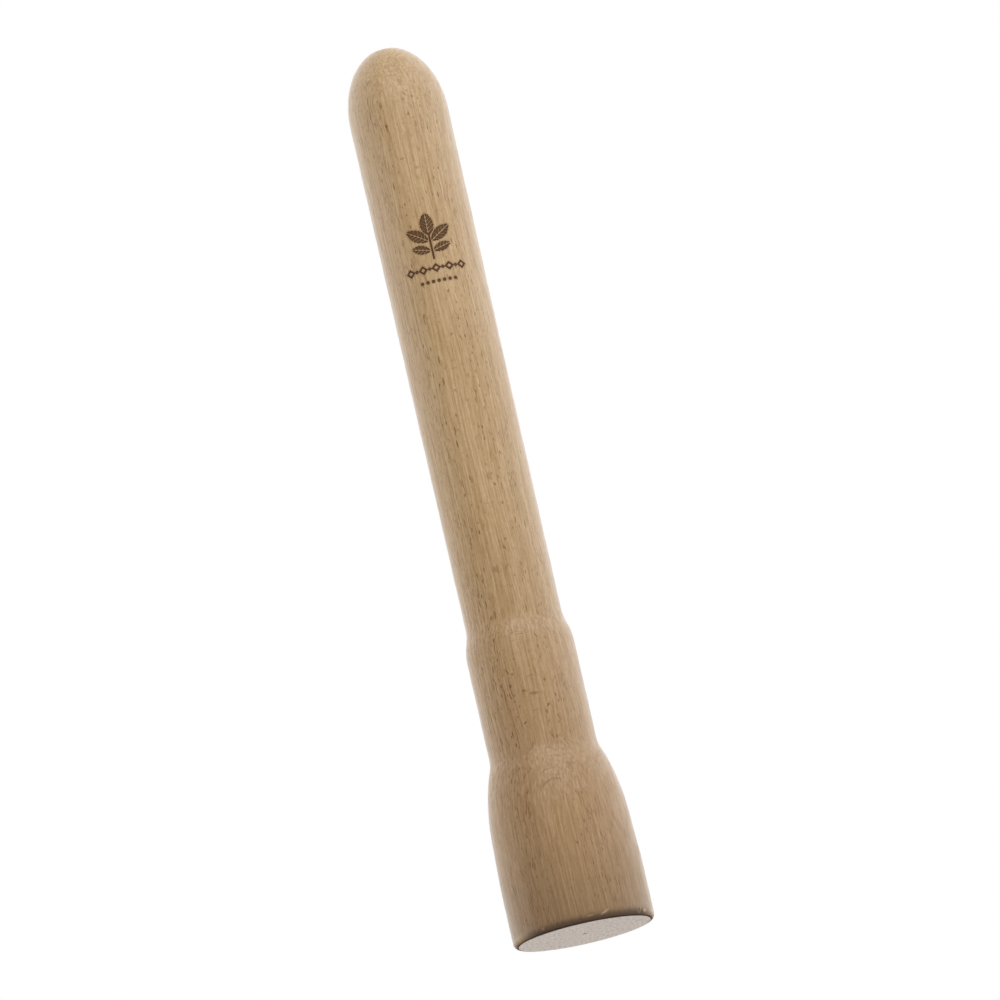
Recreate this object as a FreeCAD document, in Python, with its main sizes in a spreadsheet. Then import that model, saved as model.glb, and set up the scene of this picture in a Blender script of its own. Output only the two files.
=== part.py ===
import FreeCAD, Part
import math
import os
import Sketcher

# A turned beech muddler: one billet of wood, cut to shape about the Z axis.
# It stands on its flat muddling face at Z = 0, with the domed handle end up.

DOC_NAME = "Muddler"
NODE = "muddler_body"

# Driving sizes in millimetres: alias, value, what it is.
SIZES = [
    ("overall_length", 320.0, "muddling face to the flat on the dome"),
    ("head_dia", 50.0, "head at its widest"),
    ("head_height", 12.0, "height at which the head is widest"),
    ("face_round", 1.6, "radius of the muddling face's rounded edge"),
    ("belly_radius", 490.0, "long slow curve of the head's side"),
    ("shoulder_height", 41.0, "where the belly turns into the shoulder"),
    ("shoulder_radius", 75.0, "curve that draws the head in"),
    ("throat_radius", 12.0, "hollow between the shoulder and the collar"),
    ("collar_dia", 38.0, "straight collar above the head"),
    ("ledge_height", 101.5, "top of the straight collar"),
    ("ledge_radius", 17.5, "both curves of the ledge above the collar"),
    ("grip_dia", 34.0, "handle just above the ledge"),
    ("swell_dia", 35.0, "handle where the dome springs from it"),
    ("dome_height", 296.0, "where the dome springs from the handle"),
    ("dome_rise", 25.0, "half of the dome's long axis"),
    ("prick_dia", 1.6, "mouth of the lathe's centre mark in the face"),
    ("prick_depth", 1.3, "depth of the lathe's centre mark"),
]

START, END, CENTRE = 1, 2, 3  # points of a sketch element
AXES = -1  # the sketch's own origin and horizontal axis
UPRIGHT = -2  # the sketch's own vertical axis
SURE = 1e-6  # smallest length that counts, in millimetres


def make_sheet(doc):
    """Returns a spreadsheet that holds every driving size under its alias."""
    sheet = doc.addObject("Spreadsheet::Sheet", "Sizes")
    for column, title in zip("ABC", ("size", "value", "meaning")):
        sheet.set(column + "1", title)
    for row, (alias, value, meaning) in enumerate(SIZES, start=2):
        sheet.set("A%d" % row, alias)
        sheet.set("B%d" % row, str(value))
        sheet.setAlias("B%d" % row, alias)
        sheet.set("C%d" % row, meaning)
    return sheet


def make_sketch(body, name):
    """Returns an empty sketch on the body's own XZ plane."""
    sketch = body.newObject("Sketcher::SketchObject", name)
    plane = next(o for o in body.Origin.OriginFeatures if o.Role == "XZ_Plane")
    sketch.AttachmentSupport = [(plane, "")]
    sketch.MapMode = "FlatFace"
    return sketch


def line(x0, y0, x1, y1):
    """Returns a straight sketch element."""
    return Part.LineSegment(FreeCAD.Vector(x0, y0, 0), FreeCAD.Vector(x1, y1, 0))


def arc(x, y, radius, first_deg, last_deg):
    """Returns a circular sketch element that runs anticlockwise."""
    circle = Part.Circle(FreeCAD.Vector(x, y, 0), FreeCAD.Vector(0, 0, 1), radius)
    return Part.ArcOfCircle(circle, math.radians(first_deg), math.radians(last_deg))


def bind(sketch, kind, places, value, expression):
    """Adds a dimension to the sketch and binds it to the sheet."""
    index = sketch.addConstraint(Sketcher.Constraint(kind, *places, value))
    sketch.setExpression("Constraints[%d]" % index, expression)


def draw_outline(sketch, size):
    """Draws half of the muddler's outline, closed along the axis of turning."""
    head = size["head_dia"] / 2
    collar = size["collar_dia"] / 2
    grip = size["grip_dia"] / 2
    swell = size["swell_dia"] / 2
    edge = size["face_round"]
    belly = size["belly_radius"]
    shoulder = size["shoulder_radius"]
    throat = size["throat_radius"]
    ledge = size["ledge_radius"]
    top = size["overall_length"]
    spring = size["dome_height"]
    rise = size["dome_rise"]

    # Each turn is the angle, above the level, of the place where two curves meet.
    edge_turn = -math.degrees(math.asin((size["head_height"] - edge) / (belly - edge)))
    edge_x = head - belly + (belly - edge) * math.cos(math.radians(edge_turn))
    belly_turn = math.degrees(math.asin((size["shoulder_height"] - size["head_height"]) / belly))
    shoulder_x = head - belly + (belly - shoulder) * math.cos(math.radians(belly_turn))
    shoulder_y = size["head_height"] + (belly - shoulder) * math.sin(math.radians(belly_turn))
    # The throat touches the shoulder on the line between their centres.
    throat_turn = math.degrees(math.acos((collar + throat - shoulder_x) / (shoulder + throat)))
    throat_y = shoulder_y + (shoulder + throat) * math.sin(math.radians(throat_turn))
    # Two equal curves, back to back, carry the ledge from the collar to the grip.
    ledge_turn = math.degrees(math.acos(1 - (collar - grip) / (2 * ledge)))
    grip_y = size["ledge_height"] + 2 * ledge * math.sin(math.radians(ledge_turn))
    # The dome is a half-ellipse, cut off flat at the overall length.
    tip_turn = math.acos((top - spring) / rise)
    tip = swell * math.sin(tip_turn)
    ellipse = Part.Ellipse(
        FreeCAD.Vector(0, spring + rise, 0),
        FreeCAD.Vector(-swell, spring, 0),
        FreeCAD.Vector(0, spring, 0),
    )

    elements = {
        "face": line(0, 0, edge_x, 0),
        "face_edge": arc(edge_x, edge, edge, -90, edge_turn),
        "belly": arc(head - belly, size["head_height"], belly, edge_turn, belly_turn),
        "shoulder": arc(shoulder_x, shoulder_y, shoulder, belly_turn, throat_turn),
        "throat": arc(collar + throat, throat_y, throat, 180, 180 + throat_turn),
        "collar": line(collar, throat_y, collar, size["ledge_height"]),
        "ledge_low": arc(collar - ledge, size["ledge_height"], ledge, 0, ledge_turn),
        "ledge_high": arc(grip + ledge, grip_y, ledge, 180, 180 + ledge_turn),
        "grip": line(grip, grip_y, swell, spring),
        "dome": Part.ArcOfEllipse(ellipse, math.radians(270), math.radians(360) - tip_turn),
        "tip": line(tip, top, 0, top),
        "axis": line(0, top, 0, 0),
    }
    number = {name: sketch.addGeometry(shape, False) for name, shape in elements.items()}
    sketch.exposeInternalGeometry(number["dome"])
    long_axis = len(elements)
    short_axis = long_axis + 1
    outer = START if sketch.Geometry[short_axis].StartPoint.x > SURE else END

    def fix(kind, *places):
        """Adds a constraint that has no size."""
        sketch.addConstraint(Sketcher.Constraint(kind, *places))

    def height(name, point, value, expression):
        """Fixes how high a point stands over the muddling face."""
        bind(sketch, "DistanceY", (AXES, START, number[name], point), value, expression)

    def reach(name, point, value, expression):
        """Fixes how far out from the axis a point stands."""
        bind(sketch, "DistanceX", (AXES, START, number[name], point), value, expression)

    # The dome.
    fix("PointOnObject", number["dome"], CENTRE, UPRIGHT)
    fix("Vertical", long_axis)
    height("dome", CENTRE, spring, "Sizes.dome_height")
    bind(sketch, "Distance", (long_axis,), 2 * rise, "2 * Sizes.dome_rise")
    bind(sketch, "Distance", (short_axis,), 2 * swell, "Sizes.swell_dia")
    fix("Coincident", number["dome"], START, short_axis, outer)
    fix("Coincident", number["dome"], END, number["tip"], START)
    fix("Horizontal", number["tip"])
    fix("PointOnObject", number["tip"], END, UPRIGHT)
    height("tip", END, top, "Sizes.overall_length")
    fix("Coincident", number["tip"], END, number["axis"], START)
    fix("Coincident", number["axis"], END, number["face"], START)

    # The face, its rounded edge and the belly.
    fix("Coincident", number["face"], START, AXES, START)
    fix("Horizontal", number["face"])
    bind(sketch, "Radius", (number["face_edge"],), edge, "Sizes.face_round")
    bind(sketch, "Radius", (number["belly"],), belly, "Sizes.belly_radius")
    height("belly", CENTRE, size["head_height"], "Sizes.head_height")
    reach("belly", CENTRE, head - belly, "Sizes.head_dia / 2 - Sizes.belly_radius")
    height("belly", END, size["shoulder_height"], "Sizes.shoulder_height")
    fix("Tangent", number["face"], END, number["face_edge"], START)
    fix("Tangent", number["face_edge"], END, number["belly"], START)

    # The shoulder, the throat and the collar.
    bind(sketch, "Radius", (number["shoulder"],), shoulder, "Sizes.shoulder_radius")
    bind(sketch, "Radius", (number["throat"],), throat, "Sizes.throat_radius")
    fix("Vertical", number["collar"])
    reach("collar", START, collar, "Sizes.collar_dia / 2")
    height("collar", END, size["ledge_height"], "Sizes.ledge_height")
    fix("Tangent", number["belly"], END, number["shoulder"], START)
    fix("Tangent", number["shoulder"], END, number["throat"], END)
    fix("Tangent", number["throat"], START, number["collar"], START)

    # The ledge and the grip, which widens slowly up to the dome.
    bind(sketch, "Radius", (number["ledge_low"],), ledge, "Sizes.ledge_radius")
    bind(sketch, "Radius", (number["ledge_high"],), ledge, "Sizes.ledge_radius")
    reach("grip", START, grip, "Sizes.grip_dia / 2")
    fix("Coincident", number["grip"], END, number["dome"], START)
    fix("Tangent", number["collar"], END, number["ledge_low"], START)
    fix("Tangent", number["ledge_low"], END, number["ledge_high"], END)
    fix("Tangent", number["ledge_high"], START, number["grip"], START)


def draw_prick(sketch, size):
    """Draws half of the cone that the lathe's centre leaves in the face."""
    radius = size["prick_dia"] / 2
    depth = size["prick_depth"]
    mouth = sketch.addGeometry(line(0, 0, radius, 0), False)
    flank = sketch.addGeometry(line(radius, 0, 0, depth), False)
    core = sketch.addGeometry(line(0, depth, 0, 0), False)
    sketch.addConstraint(Sketcher.Constraint("Coincident", mouth, END, flank, START))
    sketch.addConstraint(Sketcher.Constraint("Coincident", flank, END, core, START))
    sketch.addConstraint(Sketcher.Constraint("Coincident", core, END, mouth, START))
    sketch.addConstraint(Sketcher.Constraint("Coincident", mouth, START, AXES, START))
    sketch.addConstraint(Sketcher.Constraint("Horizontal", mouth))
    sketch.addConstraint(Sketcher.Constraint("Vertical", core))
    bind(sketch, "DistanceX", (AXES, START, mouth, END), radius, "Sizes.prick_dia / 2")
    bind(sketch, "DistanceY", (AXES, START, core, START), depth, "Sizes.prick_depth")


def turn(body, kind, name, sketch):
    """Turns a sketch all the way round its vertical axis."""
    feature = body.newObject(kind, name)
    feature.Profile = sketch
    feature.ReferenceAxis = (sketch, ["V_Axis"])
    feature.Angle = 360.0
    return feature


def make_muddler(doc, size):
    """Returns the body of the muddler: the turned billet and its centre mark."""
    body = doc.addObject("PartDesign::Body", "MuddlerBody")
    body.Label = NODE
    outline = make_sketch(body, "Outline")
    draw_outline(outline, size)
    turned = turn(body, "PartDesign::Revolution", "TurnedBillet", outline)
    doc.recompute()
    plain_volume = turned.Shape.Volume

    prick = make_sketch(body, "CentreMark")
    draw_prick(prick, size)
    turn(body, "PartDesign::Groove", "CentrePrick", prick)
    doc.recompute()
    cone = math.pi * (size["prick_dia"] / 2) ** 2 * size["prick_depth"] / 3
    cut = plain_volume - body.Shape.Volume
    if abs(cut - cone) > cone / 20:
        raise RuntimeError("the centre mark took %.3f mm3, not %.3f" % (cut, cone))
    return body


def check(doc, bodies, sketches):
    """Stops if any object failed, any shape is unsound or a sketch is loose."""
    for thing in doc.Objects:
        if "Invalid" in thing.State or "Error" in thing.State:
            raise RuntimeError("%s did not compute: %s" % (thing.Name, thing.State))
    for sketch in sketches:
        if sketch.solve() != 0:
            raise RuntimeError("%s has constraints that disagree" % sketch.Name)
    for body in bodies:
        shape = body.Shape
        if shape.isNull() or not shape.isValid() or len(shape.Solids) != 1:
            raise RuntimeError("%s is not one sound solid" % body.Label)
        box = shape.optimalBoundingBox()
        print("%s: %.2f x %.2f x %.2f mm, from z %.3f, %.1f cm3" % (
            body.Label, box.XLength, box.YLength, box.ZLength, box.ZMin, shape.Volume / 1000))


def main():
    """Builds the document, checks it and writes one STEP file per piece."""
    doc = FreeCAD.newDocument(DOC_NAME)
    make_sheet(doc)
    doc.recompute()
    size = {alias: value for alias, value, meaning in SIZES}
    body = make_muddler(doc, size)
    doc.recompute()
    check(doc, [body], [doc.Outline, doc.CentreMark])
    os.makedirs("parts", exist_ok=True)
    body.Shape.exportStep("parts/%s.step" % body.Label)


main()
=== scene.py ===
"""A turned beech muddler that stands on its flat muddling face.

The billet is one turned surface about the Z axis. Its handle carries a shallow burnt sprig, its rim a
few small knocks, and its wood is a solid pattern, so that the rings, the rays and the end grain agree
wherever the tool has cut through them.
"""

from __future__ import annotations

import logging
import math
from dataclasses import dataclass
from enum import Enum

import bpy
import numpy as np
from mathutils import Matrix, Vector


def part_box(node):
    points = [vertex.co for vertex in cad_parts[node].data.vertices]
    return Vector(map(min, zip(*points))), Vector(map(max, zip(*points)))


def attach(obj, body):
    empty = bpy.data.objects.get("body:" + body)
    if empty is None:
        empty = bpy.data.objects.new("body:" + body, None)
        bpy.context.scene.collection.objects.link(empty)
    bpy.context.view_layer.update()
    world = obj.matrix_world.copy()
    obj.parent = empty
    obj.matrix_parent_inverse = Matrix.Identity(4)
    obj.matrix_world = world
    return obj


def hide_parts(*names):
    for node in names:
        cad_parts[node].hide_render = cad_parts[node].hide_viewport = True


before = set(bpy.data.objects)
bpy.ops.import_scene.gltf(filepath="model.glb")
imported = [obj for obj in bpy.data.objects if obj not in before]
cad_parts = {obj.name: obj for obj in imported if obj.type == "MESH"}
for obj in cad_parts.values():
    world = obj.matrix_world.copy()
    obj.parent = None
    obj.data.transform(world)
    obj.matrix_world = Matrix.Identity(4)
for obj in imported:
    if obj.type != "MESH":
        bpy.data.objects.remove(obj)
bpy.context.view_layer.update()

LOG = logging.getLogger("muddler")
MM = 0.001
NODE = "muddler_body"
BODY = "root"
FLOOR_GAP = 0.05

Colour = tuple[float, float, float]
Pair = tuple[float, float]
Triple = tuple[float, float, float]


def linear(colour: Colour, alpha: float = 1.0) -> tuple[float, float, float, float]:
    """Turns a screen colour, 0 to 255, into the linear colour that shaders use.

    Args:
        colour: Red, green and blue as a screen shows them.
        alpha: Opacity.

    Returns:
        The linear red, green, blue and alpha.
    """
    parts = [c / 255 for c in colour]
    bent = [c / 12.92 if c <= 0.04045 else ((c + 0.055) / 1.055) ** 2.4 for c in parts]
    return (bent[0], bent[1], bent[2], alpha)


def ease(values: np.ndarray, low: float, high: float) -> np.ndarray:
    """Eases from 0 at low to 1 at high, as 3t^2 - 2t^3.

    Args:
        values: What is measured.
        low: Where the ease begins.
        high: Where it ends; below low, the ease runs downwards.

    Returns:
        The eased values.
    """
    t = np.clip((values - low) / (high - low), 0.0, 1.0)
    return t * t * (3.0 - 2.0 * t)


class Wire:
    """One value in a node tree, whose operators add the Math nodes of a formula."""

    def __init__(self, shader: Shader, socket: bpy.types.NodeSocket) -> None:
        """Keeps the tree and the socket."""
        self.shader = shader
        self.socket = socket

    def maths(self, operation: str, *values: Wire | float) -> Wire:
        """Adds a Math node that takes these values in order."""
        return self.shader.node("ShaderNodeMath", {"operation": operation}, list(values))

    def __add__(self, other: Wire | float) -> Wire:
        """self + other"""
        return self.maths("ADD", self, other)

    def __radd__(self, other: float) -> Wire:
        """other + self"""
        return self.maths("ADD", other, self)

    def __sub__(self, other: Wire | float) -> Wire:
        """self - other"""
        return self.maths("SUBTRACT", self, other)

    def __rsub__(self, other: float) -> Wire:
        """other - self"""
        return self.maths("SUBTRACT", other, self)

    def __mul__(self, other: Wire | float) -> Wire:
        """self * other"""
        return self.maths("MULTIPLY", self, other)

    def __rmul__(self, other: float) -> Wire:
        """other * self"""
        return self.maths("MULTIPLY", other, self)

    def __truediv__(self, other: Wire | float) -> Wire:
        """self / other"""
        return self.maths("DIVIDE", self, other)

    def __pow__(self, other: Wire | float) -> Wire:
        """self ** other"""
        return self.maths("POWER", self, other)

    def __abs__(self) -> Wire:
        """abs(self)"""
        return self.maths("ABSOLUTE", self)

    def __mod__(self, other: float) -> Wire:
        """self % other, never negative"""
        return self.maths("FLOORED_MODULO", self, other)

    def most(self, other: Wire | float) -> Wire:
        """The larger of the two."""
        return self.maths("MAXIMUM", self, other)

    def under(self, limit: Wire | float) -> Wire:
        """1 where self is below limit, else 0."""
        return self.maths("LESS_THAN", self, limit)

    def ease(self, low: float, high: float) -> Wire:
        """Eases from 0 at low to 1 at high, as 3t^2 - 2t^3.

        Args:
            low: Where the ease begins.
            high: Where it ends; below low, the ease runs downwards.

        Returns:
            The eased value.
        """
        flip = high < low
        ends = (high, low, 1.0, 0.0) if flip else (low, high, 0.0, 1.0)
        settings = {"interpolation_type": "SMOOTHSTEP"}
        return self.shader.node("ShaderNodeMapRange", settings, [self, *ends])

    def output(self, name: str) -> Wire:
        """Another output of the node that this value comes from."""
        return Wire(self.shader, self.socket.node.outputs[name])


class Shader:
    """A node tree that is written as formulas."""

    def __init__(self, tree: bpy.types.NodeTree) -> None:
        """Empties the tree."""
        self.tree = tree
        tree.nodes.clear()

    def node(
        self,
        kind: str,
        settings: dict[str, object],
        values: list | dict,
        output: int | str = 0,
    ) -> Wire:
        """Adds any node: its settings first, then its inputs.

        Args:
            kind: The node's type.
            settings: The node's own properties by name.
            values: Numbers or wires for its sockets, in order or by name or number.
            output: The output that is wanted.

        Returns:
            The wanted output.
        """
        made = self.tree.nodes.new(kind)
        for name, setting in settings.items():
            setattr(made, name, setting)
        pairs = values.items() if isinstance(values, dict) else enumerate(values)
        for key, value in pairs:
            if isinstance(value, Wire):
                self.tree.links.new(value.socket, made.inputs[key])
            else:
                made.inputs[key].default_value = value
        return Wire(self, made.outputs[output] if made.outputs else made.inputs[0])

    def vector(self, operation: str, *values: Wire | tuple, output: int | str = 0) -> Wire:
        """Adds a Vector Math node."""
        return self.node("ShaderNodeVectorMath", {"operation": operation}, list(values), output)

    def parts(self, vector: Wire) -> tuple[Wire, Wire, Wire]:
        """Splits a vector or a colour into its three numbers."""
        split = self.node("ShaderNodeSeparateXYZ", {}, [vector])
        return split, split.output("Y"), split.output("Z")

    def mix(self, first: Wire | tuple, second: Wire | tuple, share: Wire | float,
            blend: str = "MIX") -> Wire:
        """Mixes two colours.

        Args:
            first: The colour where share is 0.
            second: The colour where share is 1, or what the blend works with.
            share: How much of the second.
            blend: The way of mixing.

        Returns:
            The mixed colour.
        """
        settings = {"data_type": "RGBA", "blend_type": blend, "clamp_factor": True}
        return self.node("ShaderNodeMix", settings, {0: share, 6: first, 7: second}, 2)

    def wander(self, point: Wire, size: Triple, reach: Triple) -> Wire:
        """Moves a place about at random.

        Args:
            point: The place.
            size: How far apart along each axis the moves begin to differ.
            reach: How far it may move along each axis, from end to end.

        Returns:
            The moved place.
        """
        scaled = self.vector("DIVIDE", point, size)
        values = {"Vector": scaled, "Scale": 1.0, "Detail": 1.5, "Roughness": 0.45}
        moved = self.node("ShaderNodeTexNoise", {"noise_dimensions": "3D"}, values, "Color")
        moved = self.vector("SUBTRACT", moved, (0.5, 0.5, 0.5))
        return self.vector("ADD", point, self.vector("MULTIPLY", moved, reach))

    def noise(self, point: Wire, size: Triple, detail: float = 2.0, rough: float = 0.5) -> Wire:
        """Adds smooth random values.

        Args:
            point: The place.
            size: How far apart along each axis the values begin to differ.
            detail: How many finer layers are added.
            rough: How strong each finer layer is, against the one before it.

        Returns:
            A value from 0 to 1, mostly near 0.5.
        """
        scaled = self.vector("DIVIDE", point, size)
        values = {"Vector": scaled, "Scale": 1.0, "Detail": detail, "Roughness": rough}
        return self.node("ShaderNodeTexNoise", {"noise_dimensions": "3D"}, values)


class Attribute(Enum):
    """Values that the billet's mesh carries for its finish."""

    MARK = "mark_edge"
    KNOCK = "knock"


@dataclass(frozen=True)
class Rays:
    """One population of wood rays: thin upright ribbons that run out from the pith along X.

    Spacing is the size of the cell that a ray has to itself, and half is the ray's own half size,
    both in millimetres. Kept is the share of the cells that hold a ray, and shift moves the cells
    away from those of the other populations.
    """

    spacing: Triple
    half: Triple
    kept: float
    shift: float

    def mask(self, shader: Shader, point: Wire) -> Wire:
        """Shows where a ray is cut open.

        Every cell of a random packing holds one ray, an ellipsoid: the mask is 1 where the
        distance to the cell's centre, divided by the half sizes, is under the ray's own size.

        Args:
            shader: The tree to add to.
            point: The place in the wood in millimetres.

        Returns:
            0 in plain wood and up to 1 in a ray.
        """
        cell = shader.vector("DIVIDE", point, self.spacing)
        cell = shader.vector("ADD", cell, (self.shift, self.shift, self.shift))
        settings = {"voronoi_dimensions": "3D", "feature": "F1"}
        packing = shader.node("ShaderNodeTexVoronoi", settings, {"Vector": cell, "Scale": 1.0})
        gap = shader.vector("SUBTRACT", cell, packing.output("Position"))
        stretch = tuple(s / w for s, w in zip(self.spacing, self.half))
        away = shader.vector("LENGTH", shader.vector("MULTIPLY", gap, stretch), output="Value")
        size, chance, depth = shader.parts(packing.output("Color"))
        inside = (away / (0.55 + 0.45 * size)).ease(1.0, 0.6)
        return inside * chance.under(self.kept) * (0.45 + 0.55 * depth)


@dataclass(frozen=True)
class Place:
    """A point of the wood in millimetres, its distance from the axis and how far right it faces."""

    point: Wire
    x: Wire
    y: Wire
    z: Wire
    out: Wire
    right: Wire


@dataclass(frozen=True)
class Figure:
    """The wood's figure at one place, each value from 0 to 1."""

    late: Wire
    streak: Wire
    vessels: Wire
    fibre: Wire
    speck: Wire
    cloud: Wire
    turning: Wire
    mottle: Wire
    fine: Wire
    long: Wire
    broad: Wire


@dataclass(frozen=True)
class Beech:
    """Sanded beech with a thin dry oil.

    Lengths are in millimetres. A span holds the heights where a change begins and where it is
    whole, and the larger may come first. The lathe lines at the ledge fade over distances from
    the ledge's middle.
    """

    pale: Colour = (219, 190, 150)
    warm: Colour = (153, 112, 44)
    late: Colour = (136, 96, 38)
    ray: Colour = (110, 63, 4)
    # flank is a paler grey-tan that paints light and sheen on the two sides.
    flank: Colour = (218, 195, 172)
    # face is painted pale, partly the end grain's own colour and partly the white reflection it shows at
    # a grazing view.
    face: Colour = (228, 202, 178)
    # rim is the dark brown of the burnished rim; it also paints shade on the head, left of the middle and
    # in the centre prick.
    rim: Colour = (72, 46, 18)
    scorch: Colour = (62, 32, 4)
    scorch_core: Colour = (124, 79, 34)
    # A grey-brown tint multiplied over the head as painted shade.
    head_shade_tint: tuple[float, float, float, float] = (0.815, 0.76, 0.73, 1.0)
    ring_width: float = 1.9
    ring_waver: float = 3.0
    pith: Pair = (-88.0, 14.0)
    tall_rays: Rays = Rays((30.0, 1.0, 8.0), (13.0, 0.13, 2.1), 0.6, 0.0)
    broad_rays: Rays = Rays((22.0, 0.66, 3.6), (9.5, 0.12, 1.0), 0.8, 13.3)
    fine_rays: Rays = Rays((12.0, 0.42, 2.0), (5.0, 0.07, 0.6), 0.9, 31.7)
    long_rays: Rays = Rays((26.0, 0.9, 15.0), (12.0, 0.08, 5.2), 0.75, 47.1)
    tip_span: Pair = (302.0, 314.0)
    head_span: Pair = (75.0, 45.0)
    dome_tooling: Pair = (285.0, 300.0)
    ledge_middle: float = 106.0
    ledge_tooling: Pair = (9.0, 4.0)
    rim_span: Pair = (3.8, 1.1)
    # The next four spans place painted shade at the foot, left of the middle and over the head, and
    # painted light up the left side.
    bottom_shade_span: Pair = (42.0, 4.0)
    core_shade_span: Pair = (130.0, 25.0)
    left_light_span: Pair = (110.0, 250.0)
    head_shade_span: Pair = (185.0, 40.0)
    film_span: Pair = (110.0, 20.0)
    bump_depth: float = 0.07

    def place(self, shader: Shader) -> Place:
        """Reads where the shaded point is.

        Args:
            shader: The tree to add to.

        Returns:
            The place, in millimetres from the middle of the muddling face.
        """
        point = shader.node("ShaderNodeTexCoord", {}, [], "Object")
        point = shader.vector("MULTIPLY", point, (1 / MM, 1 / MM, 1 / MM))
        x, y, z = shader.parts(point)
        out = (x * x + y * y) ** 0.5
        return Place(point, x, y, z, out, x / out.most(1.0))

    def figure(self, shader: Shader, place: Place) -> Figure:
        """Works out the figure as a solid pattern, read from a place that wanders as grain does.

        The growth rings are the distance from the pith, counted in ring widths, and what is left
        over from a whole number is how far through its year the wood is.

        Args:
            shader: The tree to add to.
            place: The place in the wood.

        Returns:
            The figure there.
        """
        bent = shader.wander(place.point, (17.0, 17.0, 48.0), (4.0, 1.6, 6.0))
        bent = shader.wander(bent, (2.6, 2.6, 2.4), (0.4, 0.4, 0.0))
        bent_x, bent_y, _ = shader.parts(bent)
        pith_x = bent_x - self.pith[0]
        pith_y = bent_y - self.pith[1]
        age = (pith_x * pith_x + pith_y * pith_y) ** 0.5 / self.ring_width
        age = age + self.ring_waver * shader.noise(bent, (6.0, 9.0, 160.0))
        season = age % 1.0
        line = abs(shader.noise(bent, (1.1, 1.1, 16.0), 1.0) - 0.5).ease(0.035, 0.0)
        broken = shader.noise(bent, (2.0, 2.0, 9.0), 1.0).ease(0.46, 0.62)
        tall = self.tall_rays.mask(shader, bent)
        return Figure(
            late=season.ease(0.35, 0.93) * season.ease(1.0, 0.95),
            streak=shader.noise(bent, (0.52, 0.52, 30.0), 1.0),
            vessels=line * broken,
            fibre=shader.noise(bent, (0.6, 0.6, 5.0), 2.0, 0.6),
            speck=shader.noise(bent, (0.5, 0.5, 1.1), 2.0, 0.6),
            cloud=shader.noise(bent, (13.0, 13.0, 60.0)),
            turning=shader.noise(place.point, (400.0, 400.0, 0.42), 2.0, 0.6),
            mottle=shader.noise(place.point, (0.9, 4.6, 4.0), 2.0, 0.65),
            fine=self.fine_rays.mask(shader, bent),
            long=self.long_rays.mask(shader, bent),
            broad=tall.most(self.broad_rays.mask(shader, bent)),
        )

    def clean_wood(self, shader: Shader, place: Place, figure: Figure) -> Wire:
        """Colours the wood as it left the lathe.

        Pale and warm wood are mixed by the tone, which is the sum of the figure's finer values.
        Vessels and rays lie over it, strongest where they are cut across, on the two flanks.

        Args:
            shader: The tree to add to.
            place: The place in the wood.
            figure: The figure there.

        Returns:
            The colour.
        """
        z = place.z
        clear = 1.0 - 0.65 * z.ease(*self.tip_span) - 0.35 * z.ease(*self.head_span)
        flanks = abs(place.right).ease(0.05, 0.5)
        tooled = 0.12 + 0.3 * z.ease(*self.dome_tooling)
        tooled = tooled + 0.2 * abs(z - self.ledge_middle).ease(*self.ledge_tooling)

        tone = 0.48 + 0.2 * (figure.cloud - 0.5) + 0.9 * (figure.streak - 0.5)
        tone = tone + tooled * (figure.turning - 0.5)
        grit = 0.6 * (figure.fibre - 0.5) + 0.35 * (figure.speck - 0.5)
        tone = tone + grit * (0.5 + 0.5 * clear)
        wood = shader.mix(linear(self.pale), linear(self.warm), tone)
        wood = shader.mix(wood, linear(self.late), 0.13 * figure.late)
        wood = shader.mix(wood, linear(self.late), figure.vessels * (0.25 + 0.35 * flanks))
        wood = shader.mix(wood, linear(self.ray), figure.fine * (0.25 + 0.4 * flanks) * clear)
        wood = shader.mix(wood, linear(self.ray), figure.long * 0.9 * flanks)
        return shader.mix(wood, linear(self.ray), figure.broad * (0.6 + 0.4 * flanks) * clear)

    def shade_and_wear(
        self, shader: Shader, place: Place, figure: Figure, wood: Wire, on_face: Wire, on_rim: Wire
    ) -> Wire:
        """Paints light and shade on the wood: paler sides, a darker head and prick, a face painted pale,
        a rim partly burnished and partly shaded.

        Args:
            shader: The tree to add to.
            place: The place in the wood.
            figure: The figure there.
            wood: The colour of the clean wood.
            on_face: 1 on the flat muddling face.
            on_rim: 1 on the rounded rim.

        Returns:
            The colour.
        """
        z = place.z
        left_light = place.right.ease(-0.2, -0.7) * z.ease(*self.left_light_span)
        left_core_shade = abs(place.right + 0.5).ease(0.5, 0.08) * (0.4 + 0.6 * z.ease(*self.core_shade_span))
        front_and_back = (abs(0.99 * place.y - 0.14 * place.x) / place.out.most(1.0)).ease(0.25, 0.7)
        # Painted light: the right side, and the left side further up, are mixed towards the paler flank
        # colour, standing in for the sheen of the surround.
        wood = shader.mix(wood, linear(self.flank), 0.2 * place.right.ease(0.1, 0.8))
        wood = shader.mix(wood, linear(self.flank), 0.19 * left_light)
        # Painted shade: the wood is darkened and greyed towards the head, and more at its foot, as the
        # light falls off towards the bottom.
        wood = shader.mix(wood, self.head_shade_tint, z.ease(*self.head_shade_span), "MULTIPLY")
        wood = shader.mix(wood, linear(self.rim), 0.22 * z.ease(*self.bottom_shade_span))
        # Painted shade: a dark band just left of the middle, strongest on the head, where the round side
        # turns away from the light.
        wood = shader.mix(wood, linear(self.rim), 0.19 * left_core_shade)
        # Painted light: the whole rim is lifted towards pale against the floor's contact shadow.
        wood = shader.mix(wood, linear(self.pale), 0.3 * on_rim)
        # The rim darkens at front and back: partly its own burnished edge, partly painted shade on its
        # downward-facing curve.
        wood = shader.mix(wood, linear(self.rim), 0.85 * front_and_back * on_rim)
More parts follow.
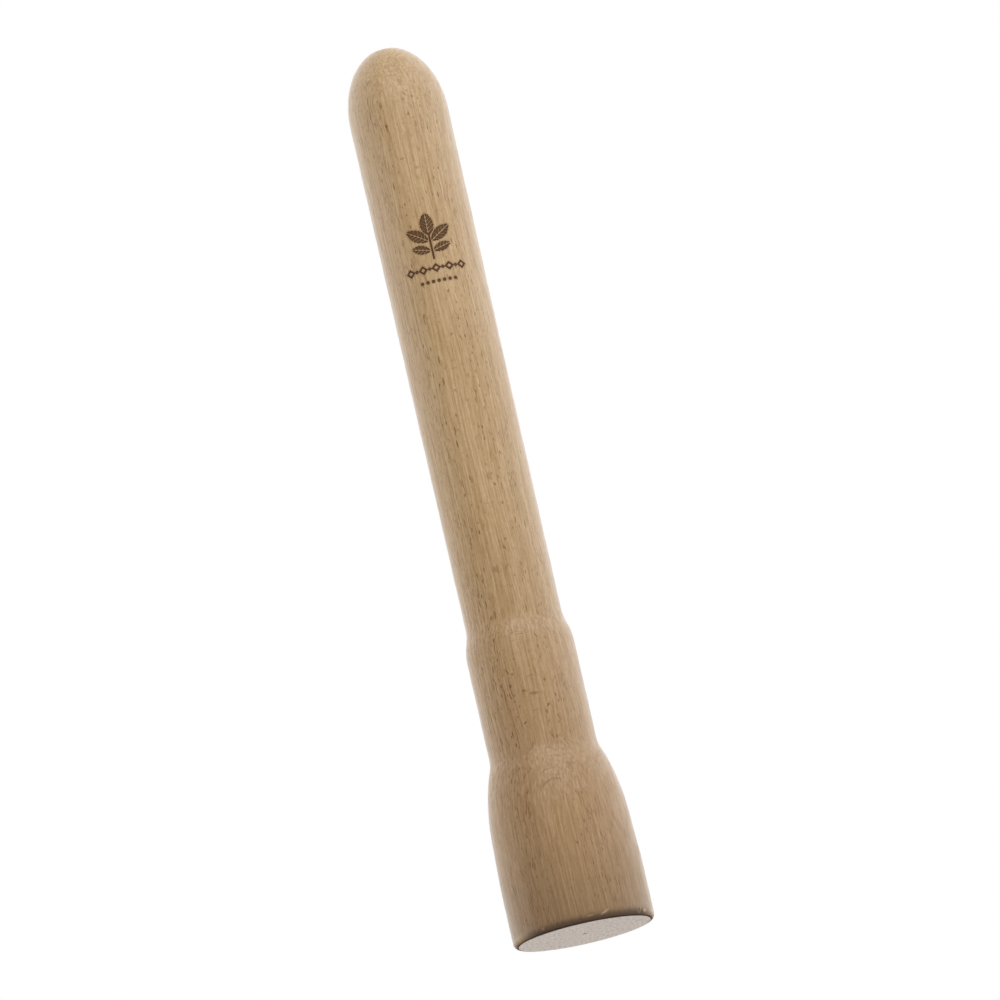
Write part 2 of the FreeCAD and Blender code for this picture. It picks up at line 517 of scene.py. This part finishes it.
        # The face is painted pale grey-white over its real mottle: partly sanded end grain, partly
        # painted reflection of the white surround at a grazing view.
        face_mottle = 1.2 * (figure.mottle - 0.38) + 0.12 * figure.late
        pale_face = shader.mix(linear(self.face), linear(self.late), face_mottle)
        wood = shader.mix(wood, pale_face, 0.86 * on_face)
        # Painted shade: the inside of the centre prick, a small hole, is darkened.
        prick_shade = z.ease(0.05, 0.3) * z.under(3.0) * place.out.under(1.2)
        return shader.mix(wood, linear(self.rim), 0.8 * prick_shade)

    def burn(self, shader: Shader, place: Place, fibre: Wire, wood: Wire) -> tuple[Wire, Wire]:
        """Burns the mark in: dark at its ragged edge, browner and rastered further inside.

        Args:
            shader: The tree to add to.
            place: The place in the wood.
            fibre: The fibres that make the edge ragged.
            wood: The colour of the wood.

        Returns:
            The colour with the mark, and 1 where the wood is burnt.
        """
        edge = self.carried(shader, Attribute.MARK)
        ragged = edge + 0.1 * (fibre - 0.5)
        burnt = ragged.ease(0.05, -0.05)
        core = ragged.ease(-0.1, -0.55)
        raster = ((place.z * 4.0) % 1.0).ease(0.2, 0.8)
        shade = core * (0.55 + 0.45 * raster)
        char = shader.mix(linear(self.scorch), linear(self.scorch_core), shade)
        wood = shader.mix(wood, linear(self.late), 0.35 * edge.ease(0.7, 0.0))
        return shader.mix(wood, char, 0.96 * burnt), burnt

    def carried(self, shader: Shader, name: Attribute) -> Wire:
        """Reads one of the values that the mesh carries."""
        return shader.node("ShaderNodeAttribute", {"attribute_name": name.value}, [], "Fac")

    def dress(self, piece: bpy.types.Object, face_radius: float) -> None:
        """Gives the billet its wood.

        Args:
            piece: The turned billet.
            face_radius: Radius of the flat muddling face in millimetres.
        """
        material = bpy.data.materials.new("oiled_beech")
        material.use_nodes = True
        shader = Shader(material.node_tree)
        place = self.place(shader)
        figure = self.figure(shader, place)
        fibre = figure.fibre
        mottle = figure.mottle
        late = figure.late

        on_face = place.z.ease(0.12, 0.02) * place.out.ease(face_radius + 0.3, face_radius)
        rim_height = place.z + 1.8 * (figure.streak - 0.5) + 1.4 * (mottle - 0.5)
        outside = place.out.ease(face_radius - 1.5, face_radius - 0.4)
        on_rim = rim_height.ease(*self.rim_span) * outside
        wood = self.clean_wood(shader, place, figure)
        wood = self.shade_and_wear(shader, place, figure, wood, on_face, on_rim)
        wood, burnt = self.burn(shader, place, fibre, wood)
        fresh = self.carried(shader, Attribute.KNOCK)
        wood = shader.mix(wood, linear(self.pale), 0.75 * fresh)

        rough = 0.43 + 0.14 * (fibre - 0.5) + 0.1 * (figure.cloud - 0.5) + 0.06 * late
        rough = rough + 0.35 * burnt + 0.08 * on_face
        relief = 0.5 * fibre + 0.35 * figure.streak + 0.35 * figure.turning
        relief = relief - 0.3 * figure.broad - 0.12 * late + 2.4 * on_face * mottle
        bump = {"Strength": 0.35, "Distance": self.bump_depth * MM, "Height": relief}
        normal = shader.node("ShaderNodeBump", {}, bump)

        # The oil is thin on the head, and gone where it was burnt off or has sunk into rays.
        film = (0.34 - 0.2 * place.z.ease(*self.film_span)) * (1.0 - burnt)
        film = film * (1.0 - 0.7 * figure.broad.most(late * 0.6))
        film = film + 1.1 * on_face * (0.85 - mottle)
        values = {"Base Color": wood, "Roughness": rough, "Normal": normal, "IOR": 1.5}
        values |= {"Coat Weight": film, "Coat Roughness": 0.4, "Coat IOR": 1.5}
        values |= {"Sheen Weight": 0.36, "Sheen Roughness": 0.35}
        surface = shader.node("ShaderNodeBsdfPrincipled", {}, values)
        shader.node("ShaderNodeOutputMaterial", {}, {"Surface": surface})
        piece.data.materials.append(material)


@dataclass(frozen=True)
class Leaf:
    """One pointed leaf of the burnt sprig, in millimetres on the unrolled handle."""

    base: Pair
    turn_deg: float
    length: float
    half_width: float
    tooth_depth: float = 0.1
    tooth_pitch: float = 0.95
    midrib_half: float = 0.13
    vein_half: float = 0.11
    vein_pitch: float = 1.3
    vein_slant: float = 0.8
    vein_shift: float = 0.5
    bare_base: float = 0.6
    bare_tip: float = 1.2

    def edge(self, across: np.ndarray, up: np.ndarray) -> np.ndarray:
        """Measures how far each place is from the leaf's outline.

        The leaf is where two equal circles overlap, with a toothed edge, less a midrib and
        slanting side veins that stay unburnt, except near its base and its tip.

        Args:
            across: Distance to the right of the sprig's middle.
            up: Distance above it.

        Returns:
            The distance, negative inside the leaf.
        """
        turn = math.radians(self.turn_deg)
        x = across - self.base[0]
        y = up - self.base[1]
        along = x * math.sin(turn) + y * math.cos(turn)
        aside = np.abs(x * math.cos(turn) - y * math.sin(turn))
        half = self.length / 2
        radius = (half**2 + self.half_width**2) / (2 * self.half_width)
        outline = np.hypot(aside + radius - self.half_width, along - half) - radius
        outline += self.tooth_depth * (1 - np.cos(2 * math.pi * along / self.tooth_pitch))
        midrib = self.midrib_half - aside
        rise = (along - self.vein_slant * aside + self.vein_shift) % self.vein_pitch
        veins = self.vein_half - np.abs(rise - self.vein_pitch / 2)
        veined = (along > self.bare_base) & (along < self.length - self.bare_tip)
        veins = np.where(veined, veins, -1.0)
        return np.maximum(outline, np.maximum(midrib, veins))


@dataclass(frozen=True)
class Sprig:
    """The burnt mark: a sprig of mint over a row of lozenges and a row of beads. Millimetres."""

    height: float = 247.3
    angle_deg: float = 3.4
    depth: float = 0.16
    wall: Pair = (0.08, -0.12)
    leaves: tuple[Leaf, ...] = (
        Leaf((0.0, 1.0), 0.0, 8.6, 2.5),
        Leaf((-0.3, -0.8), -56.0, 9.2, 2.2),
        Leaf((0.3, -0.8), 56.0, 9.2, 2.2),
        Leaf((-0.25, -4.2), -74.0, 7.2, 1.7),
        Leaf((0.25, -4.2), 74.0, 7.2, 1.7),
    )
    stem_ends: Pair = (-7.0, 2.0)
    stroke: float = 0.34
    lozenge_drop: float = 10.4
    lozenge_pitch: float = 4.7
    lozenge_count: int = 5
    lozenge_half: Pair = (2.05, 1.9)
    lozenge_line: float = 0.62
    bead_drop: float = 15.0
    bead_pitch: float = 2.0
    bead_count: int = 7
    bead_radius: float = 0.62
    reach_up: float = 10.5
    reach_down: float = 17.0

    def bar(self, across: np.ndarray, up: np.ndarray, start: Pair, end: Pair) -> np.ndarray:
        """Measures how far each place is from a round-ended stroke.

        Args:
            across: Distance to the right of the mark's middle.
            up: Distance above it.
            start: Where the stroke's middle line begins.
            end: Where it ends.

        Returns:
            The distance, negative inside the stroke.
        """
        line = np.array(end) - np.array(start)
        dx = across - start[0]
        dy = up - start[1]
        share = np.clip((dx * line[0] + dy * line[1]) / (line @ line), 0.0, 1.0)
        return np.hypot(dx - share * line[0], dy - share * line[1]) - self.stroke

    def spread(self, count: int, pitch: float) -> list[float]:
        """Places this many things about the middle, one pitch apart."""
        return [(number - (count - 1) / 2) * pitch for number in range(count)]

    def edge(self, across: np.ndarray, up: np.ndarray) -> np.ndarray:
        """Measures how far each place is from the whole mark's edge.

        Args:
            across: Distance to the right of the mark's middle, along the surface.
            up: Distance above it.

        Returns:
            The smallest of the distances to its leaves, stem, lozenges and beads.
        """
        nearest = self.bar(across, up, (0.0, self.stem_ends[0]), (0.0, self.stem_ends[1]))
        for leaf in self.leaves:
            nearest = np.minimum(nearest, leaf.edge(across, up))
        half_width, half_height = self.lozenge_half
        steep = 1 / math.hypot(1 / half_width, 1 / half_height)
        for place in self.spread(self.lozenge_count, self.lozenge_pitch):
            lozenge = np.abs(across - place) / half_width + np.abs(up + self.lozenge_drop) / half_height
            outline = np.abs((lozenge - self.lozenge_line) * steep) - self.stroke
            nearest = np.minimum(nearest, outline)
        for place in self.spread(self.lozenge_count - 1, self.lozenge_pitch):
            bead = np.hypot(across - place, up + self.lozenge_drop) - self.bead_radius
            nearest = np.minimum(nearest, bead)
        for place in self.spread(self.bead_count, self.bead_pitch):
            bead = np.hypot(across - place, up + self.bead_drop) - self.bead_radius
            nearest = np.minimum(nearest, bead)
        return nearest


@dataclass(frozen=True)
class Knock:
    """A small bruise in the billet. Millimetres and degrees."""

    angle_deg: float
    height: float
    length: float
    width: float
    lean_deg: float
    depth: float
    fresh: float

    def cut(self, arc: np.ndarray, height: np.ndarray, radius: float) -> np.ndarray:
        """Shares out the bruise, as exp(-(a^2 + b^2)^2) about its middle.

        Args:
            arc: The angle round the billet in radians, from the front.
            height: The height of each place.
            radius: The billet's radius there.

        Returns:
            1 in the middle of the bruise, 0 well away from it.
        """
        across = (arc - math.radians(self.angle_deg)) * radius
        up = height - self.height
        lean = math.radians(self.lean_deg)
        along = (across * math.cos(lean) + up * math.sin(lean)) / (self.length / 2)
        aside = (up * math.cos(lean) - across * math.sin(lean)) / (self.width / 2)
        return np.exp(-((along**2 + aside**2) ** 2))


@dataclass
class TurnedBillet:
    """The whole muddler, turned from one billet. Millimetres, with heights from the face."""

    length: float
    head_radius: float
    head_height: float = 12.0
    face_round: float = 1.6
    belly: float = 490.0
    shoulder_height: float = 41.0
    shoulder: float = 75.0
    throat: float = 12.0
    collar_radius: float = 19.0
    ledge_height: float = 101.5
    ledge: float = 17.5
    grip_radius: float = 17.0
    swell_radius: float = 17.5
    dome_height: float = 296.0
    dome_rise: float = 25.0
    prick_radius: float = 0.8
    prick_depth: float = 1.3
    close_deg: Pair = (-38.0, 62.0)
    close_columns: int = 138
    wide_columns: int = 84
    mark_fade: float = 3.0
    mark: Sprig = Sprig()
    edge_rows: int = 10
    dome_rows: int = 34
    # Angle, height, length, width, lean, depth and share of fresh wood.
    knocks: tuple[Knock, ...] = (
        Knock(55.0, 1.3, 1.5, 1.9, 70.0, 0.55, 0.0),
        Knock(62.0, 1.6, 1.1, 1.4, 80.0, 0.12, 0.9),
        Knock(56.5, 2.0, 2.2, 0.6, 85.0, 0.1, 0.6),
        Knock(20.0, 2.4, 3.6, 0.7, 26.0, 0.16, 0.7),
        Knock(8.0, 2.0, 2.6, 0.7, 8.0, 0.1, 0.35),
        Knock(-33.0, 1.6, 1.2, 0.8, 10.0, 0.14, 0.3),
        Knock(121.0, 1.2, 2.2, 1.0, 15.0, 0.3, 0.4),
        Knock(203.0, 1.9, 3.0, 0.8, -25.0, 0.18, 0.5),
        Knock(262.0, 1.0, 1.6, 1.4, 60.0, 0.4, 0.1),
    )

    @property
    def face_radius(self) -> float:
        """Works out the flat face's radius, where the rounded edge and the belly meet.

        Returns:
            The radius.
        """
        reach = self.belly - self.face_round
        drop = self.head_height - self.face_round
        return self.head_radius - self.belly + math.sqrt(reach**2 - drop**2)

    def side(self, height: np.ndarray) -> np.ndarray:
        """Works out the billet's radius at any height between its rounded edge and its tip.

        Each stretch is an arc of a circle, sqrt(R^2 - h^2) about its centre, except the
        straight collar, the slowly widening grip and the dome, which is half an ellipse.

        Args:
            height: Heights above the face.

        Returns:
            The radius at each height.
        """
        lean = math.asin((self.shoulder_height - self.head_height) / self.belly)
        belly_x = self.head_radius - self.belly
        shoulder_x = belly_x + (self.belly - self.shoulder) * math.cos(lean)
        shoulder_z = self.head_height + (self.belly - self.shoulder) * math.sin(lean)
        reach = self.shoulder + self.throat
        throat_x = self.collar_radius + self.throat
        turn = math.acos((throat_x - shoulder_x) / reach)
        throat_z = shoulder_z + reach * math.sin(turn)
        throat_start = shoulder_z + self.shoulder * math.sin(turn)
        step = self.collar_radius - self.grip_radius
        rise = self.ledge * math.sin(math.acos(1 - step / (2 * self.ledge)))
        ledge_top = self.ledge_height + 2 * rise
        swelling = (self.swell_radius - self.grip_radius) / (self.dome_height - ledge_top)

        def bow(middle: float, radius: float) -> np.ndarray:
            """How far an arc stands from the upright line through its centre."""
            return np.sqrt(np.maximum(radius**2 - (height - middle) ** 2, 0.0))

        stretches = (
            (self.shoulder_height, belly_x + bow(self.head_height, self.belly)),
            (throat_start, shoulder_x + bow(shoulder_z, self.shoulder)),
            (throat_z, throat_x - bow(throat_z, self.throat)),
            (self.ledge_height, np.full_like(height, self.collar_radius)),
            (self.ledge_height + rise, self.collar_radius - self.ledge
             + bow(self.ledge_height, self.ledge)),
            (ledge_top, self.grip_radius + self.ledge - bow(ledge_top, self.ledge)),
            (self.dome_height, self.grip_radius + swelling * (height - ledge_top)),
        )
        dome = bow(self.dome_height, self.dome_rise) * self.swell_radius / self.dome_rise
        return np.select([height <= top for top, _ in stretches], [r for _, r in stretches], dome)

    def rows(self) -> tuple[np.ndarray, np.ndarray]:
        """Lists the radius and height of every row of the surface, from the face to the tip.

        Rows stand close at the rim, at the ledge, in the throat and across the burnt mark,
        where there is something to show, and further apart on the plain stretches.

        Returns:
            The radii and the heights.
        """
        mark_low = self.mark.height - self.mark.reach_down
        mark_high = self.mark.height + self.mark.reach_up
        edge = self.face_round
        edge_x = self.face_radius
        edge_turn = np.linspace(-math.pi / 2, 0.0, self.edge_rows, endpoint=False)
        face = np.array([self.prick_radius, 1.3, 3.0, 6.0, 10.0, 14.0, 18.0, 21.0, 22.6, 23.1])
        radii = [np.array([0.35, 0.7]) * self.prick_radius, face, edge_x + edge * np.cos(edge_turn)]
        heights = [
            np.array([0.65, 0.3]) * self.prick_depth,
            np.zeros_like(face),
            edge + edge * np.sin(edge_turn),
        ]
        stops = (edge, 5.0, 38.0, 70.0, 98.0, 118.0, mark_low, mark_high, self.dome_height)
        pitches = (0.3, 1.5, 0.9, 2.2, 0.8, 2.4, 0.2, 1.5)
        for low, high, pitch in zip(stops, stops[1:], pitches):
            upright = np.linspace(low, high, round((high - low) / pitch), endpoint=False)
            heights.append(upright)
            radii.append(self.side(upright))
        tip_turn = math.asin((self.length - self.dome_height) / self.dome_rise)
        turn = np.linspace(0.0, tip_turn, self.dome_rows)
        heights.append(self.dome_height + self.dome_rise * np.sin(turn))
        radii.append(self.swell_radius * np.cos(turn))
        tip = radii[-1][-1] * np.array([0.96, 0.8, 0.5, 0.2])
        heights.append(np.full_like(tip, self.length))
        radii.append(tip)
        return np.concatenate(radii), np.concatenate(heights)

    def columns(self) -> np.ndarray:
        """Lists the angles round the billet, close together across the mark and the chipped rim."""
        start, end = np.radians(self.close_deg)
        close = np.linspace(start, end, self.close_columns, endpoint=False)
        wide = np.linspace(end, start + 2 * math.pi, self.wide_columns, endpoint=False)
        return np.concatenate([close, wide])

    def build(self) -> bpy.types.Object:
        """Turns the outline about the axis, then cuts the mark and the knocks into it.

        A place at angle a and height z stands at (r sin a, -r cos a, z), so a = 0 is the front.

        Returns:
            The billet, with the distance to the mark's edge and the fresh wood as attributes.
        """
        radius, height = self.rows()
        angle = self.columns()
        arc, z = np.meshgrid(angle, height)
        reach = np.broadcast_to(radius[:, None], arc.shape).copy()

        # The tool and the drying wood leave the outline a few hundredths out of true.
        wander = 0.03 * np.sin(z / 2.9 + 0.6) + 0.02 * np.sin(z / 1.13) + 0.03 * np.cos(2 * arc + 0.7)
        reach += wander * ease(z, self.face_round, 8.0) * ease(z, self.dome_height + 18.0, 300.0)

        turned = (arc + math.pi) % (2 * math.pi) - math.pi
        across = (turned - math.radians(self.mark.angle_deg)) * reach
        edge = self.mark.edge(across, z - self.mark.height)
        reach -= self.mark.depth * ease(edge, *self.mark.wall)

        # The knocks stay off the flat face, which keeps its plane.
        fresh = np.zeros_like(reach)
        for knock in self.knocks:
            away = (arc - math.radians(knock.angle_deg) + math.pi) % (2 * math.pi) - math.pi
            share = knock.cut(away + math.radians(knock.angle_deg), z, self.head_radius)
            share = share * (reach > self.face_radius + 0.2)
            reach -= knock.depth * share
            fresh = np.maximum(fresh, knock.fresh * share)

        rings = np.stack([reach * np.sin(arc), -reach * np.cos(arc), z], axis=-1).reshape(-1, 3)
        poles = np.array([[0.0, 0.0, self.prick_depth], [0.0, 0.0, self.length]])
        spots = np.concatenate([rings, poles]) * MM
        mesh = self.skin(spots, arc.shape)
        away_from_mark = np.minimum(edge, self.mark_fade).ravel()
        self.carry(mesh, Attribute.MARK, np.append(away_from_mark, [self.mark_fade] * len(poles)))
        self.carry(mesh, Attribute.KNOCK, np.append(fresh.ravel(), [0.0] * len(poles)))
        return bpy.data.objects.new("beech_billet", mesh)

    def skin(self, spots: np.ndarray, shape: tuple[int, int]) -> bpy.types.Mesh:
        """Joins a closed grid of rings into a mesh, with a fan of triangles at each end.

        Args:
            spots: The rings' points, row by row, and the two points on the axis.
            shape: How many rings there are, and how many points in each.

        Returns:
            The smooth, closed mesh, facing outwards.
        """
        count, around = shape
        here = np.arange(count * around).reshape(shape)
        beside = np.roll(here, -1, axis=1)
        quads = np.stack([here[:-1], beside[:-1], beside[1:], here[1:]], axis=-1).reshape(-1, 4)
        bottom = np.stack([np.full(around, count * around), beside[0], here[0]], axis=-1)
        top = np.stack([here[-1], beside[-1], np.full(around, count * around + 1)], axis=-1)
        mesh = bpy.data.meshes.new("beech_billet")
        mesh.from_pydata(spots.tolist(), [], quads.tolist() + bottom.tolist() + top.tolist())
        mesh.polygons.foreach_set("use_smooth", np.ones(len(mesh.polygons), bool))
        mesh.update()
        return mesh

    def carry(self, mesh: bpy.types.Mesh, name: Attribute, values: np.ndarray) -> None:
        """Stores one value for every point of the mesh."""
        layer = mesh.attributes.new(name.value, "FLOAT", "POINT")
        layer.data.foreach_set("value", values.astype(np.float32))


@dataclass(frozen=True)
class SoftBox:
    """A soft studio light that faces the middle of the billet. Metres and degrees."""

    name: str
    azimuth_deg: float
    elevation_deg: float
    distance: float
    width: float
    height: float
    glow: float

    def build(self, target: Vector) -> None:
        """Hangs the light; its power is its glow times pi times its area.

        Args:
            target: The point that it faces.
        """
        data = bpy.data.lights.new(self.name, "AREA")
        data.shape = "RECTANGLE"
        data.size = self.width
        data.size_y = self.height
        data.energy = self.glow * math.pi * self.width * self.height
        turn = math.radians(self.azimuth_deg)
        lift = math.radians(self.elevation_deg)
        away = Vector((math.sin(turn) * math.cos(lift), -math.cos(turn) * math.cos(lift), math.sin(lift)))
        lamp = bpy.data.objects.new(self.name, data)
        turned = away.to_track_quat("Z", "Y").to_matrix().to_4x4()
        lamp.matrix_world = Matrix.Translation(target + away * self.distance) @ turned
        lamp.visible_camera = False
        bpy.context.scene.collection.objects.link(lamp)


@dataclass(frozen=True)
class Studio:
    """The plain pale floor, the white surround, the soft light and the camera. Metres."""

    hole_radius: float
    floor_radius: float = 2.4
    whole_radius: float = 0.4
    gone_radius: float = 2.28
    floor_colour: Colour = (228, 226, 223)
    key: SoftBox = SoftBox(
        name="key_box",
        azimuth_deg=17.0,
        elevation_deg=42.0,
        distance=1.0,
        width=1.1,
        height=0.8,
        glow=2.03,
    )
    camera_distance: float = 4.0
    camera_tilt_deg: float = 10.97
    camera_roll_deg: float = 12.83
    lens: float = 414.6
    aim: Pair = (0.0047, 0.1551)

    def floor(self) -> None:
        """Lays a round floor that is seen from above only and thins out into the surround.

        Its rings stand in equal ratios, from the hole under the face to the outer edge.
        """
        around = 128
        turn = np.linspace(0.0, 2 * math.pi, around, endpoint=False)
        steps = np.linspace(0.0, 1.0, 40)
        radius = self.hole_radius * (self.floor_radius / self.hole_radius) ** steps
        reach, arc = np.meshgrid(radius, turn, indexing="ij")
        spots = np.stack([reach * np.cos(arc), reach * np.sin(arc), 0 * reach], axis=-1)
        here = np.arange(reach.size).reshape(reach.shape)
        beside = np.roll(here, -1, axis=1)
        faces = np.stack([here[:-1], here[1:], beside[1:], beside[:-1]], axis=-1)
        mesh = bpy.data.meshes.new("floor")
        mesh.from_pydata(spots.reshape(-1, 3).tolist(), [], faces.reshape(-1, 4).tolist())
        plane = bpy.data.objects.new("floor", mesh)
        bpy.context.scene.collection.objects.link(plane)
        material = bpy.data.materials.new("pale_floor")
        material.use_nodes = True
        shader = Shader(material.node_tree)
        point = shader.node("ShaderNodeTexCoord", {}, [], "Object")
        away = shader.vector("LENGTH", point, output="Value")
        beneath = shader.node("ShaderNodeNewGeometry", {}, [], "Backfacing")
        gone = beneath.most(away.ease(self.whole_radius, self.gone_radius))
        values = {"Base Color": linear(self.floor_colour), "Roughness": 0.75}
        matt = shader.node("ShaderNodeBsdfPrincipled", {}, values)
        clear = shader.node("ShaderNodeBsdfTransparent", {}, [])
        surface = shader.node("ShaderNodeMixShader", {}, [gone, matt, clear])
        shader.node("ShaderNodeOutputMaterial", {}, {"Surface": surface})
        mesh.materials.append(material)

    def surround(self) -> None:
        """Fills the studio with white, brighter behind the billet than on the camera's side.

        The glow rises from 0.27 behind the camera to 1.54 far behind the billet, and falls by
        about half towards the ground. The camera itself sees plain white.
        """
        world = bpy.data.worlds.new("white_surround")
        world.use_nodes = True
        bpy.context.scene.world = world
        shader = Shader(world.node_tree)
        right, back, up = shader.parts(shader.node("ShaderNodeTexCoord", {}, [], "Generated"))
        glow = 0.27 + 0.87 * back.ease(-0.6, 0.2) + 0.4 * back.ease(0.2, 0.9)
        glow = glow * (0.54 + 0.46 * up.ease(-0.5, 0.0)) * (1.0 + 0.04 * right)
        seen = shader.node("ShaderNodeLightPath", {}, [], "Is Camera Ray")
        glow = glow + seen * (1.0 - glow)
        values = {"Color": (1.0, 1.0, 1.0, 1.0), "Strength": glow}
        backdrop = shader.node("ShaderNodeBackground", {}, values)
        shader.node("ShaderNodeOutputWorld", {}, {"Surface": backdrop})

    def camera(self) -> None:
        """Looks up at the billet from a little below its face, rolled so that it leans."""
        tilt = math.radians(self.camera_tilt_deg)
        roll = math.radians(self.camera_roll_deg)
        across = Vector((1.0, 0.0, 0.0))
        upright = Vector((0.0, -math.sin(tilt), math.cos(tilt)))
        look = Vector((0.0, math.cos(tilt), math.sin(tilt)))
        right = across * math.cos(roll) - upright * math.sin(roll)
        up = across * math.sin(roll) + upright * math.cos(roll)
        place = Vector((self.aim[0], 0.0, self.aim[1])) - look * self.camera_distance
        data = bpy.data.cameras.new("camera")
        data.lens = self.lens
        seen_from = bpy.data.objects.new("camera", data)
        turn = Matrix((right, up, -look)).transposed().to_4x4()
        seen_from.matrix_world = Matrix.Translation(place) @ turn
        bpy.context.scene.collection.objects.link(seen_from)
        bpy.context.scene.camera = seen_from

    def build(self, target: Vector) -> None:
        """Sets up everything round the billet.

        Args:
            target: The middle of the billet.
        """
        self.camera()
        self.floor()
        self.surround()
        self.key.build(target)
        bpy.context.scene.view_settings.view_transform = "Standard"


def main() -> None:
    """Builds the studio and the billet, dresses it and logs how many points and faces it has."""
    logging.basicConfig(level=logging.INFO, format="%(name)s: %(message)s")
    low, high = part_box(NODE)
    billet = TurnedBillet(length=high.z / MM, head_radius=high.x / MM)
    Studio(hole_radius=(billet.face_radius + FLOOR_GAP) * MM).build((low + high) / 2)

    piece = billet.build()
    bpy.context.scene.collection.objects.link(piece)
    Beech().dress(piece, billet.face_radius)
    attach(piece, BODY)
    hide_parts(NODE)
    LOG.info("%s: %d points, %d faces", piece.name, len(piece.data.vertices), len(piece.data.polygons))


if __name__ == "__main__":
    main()
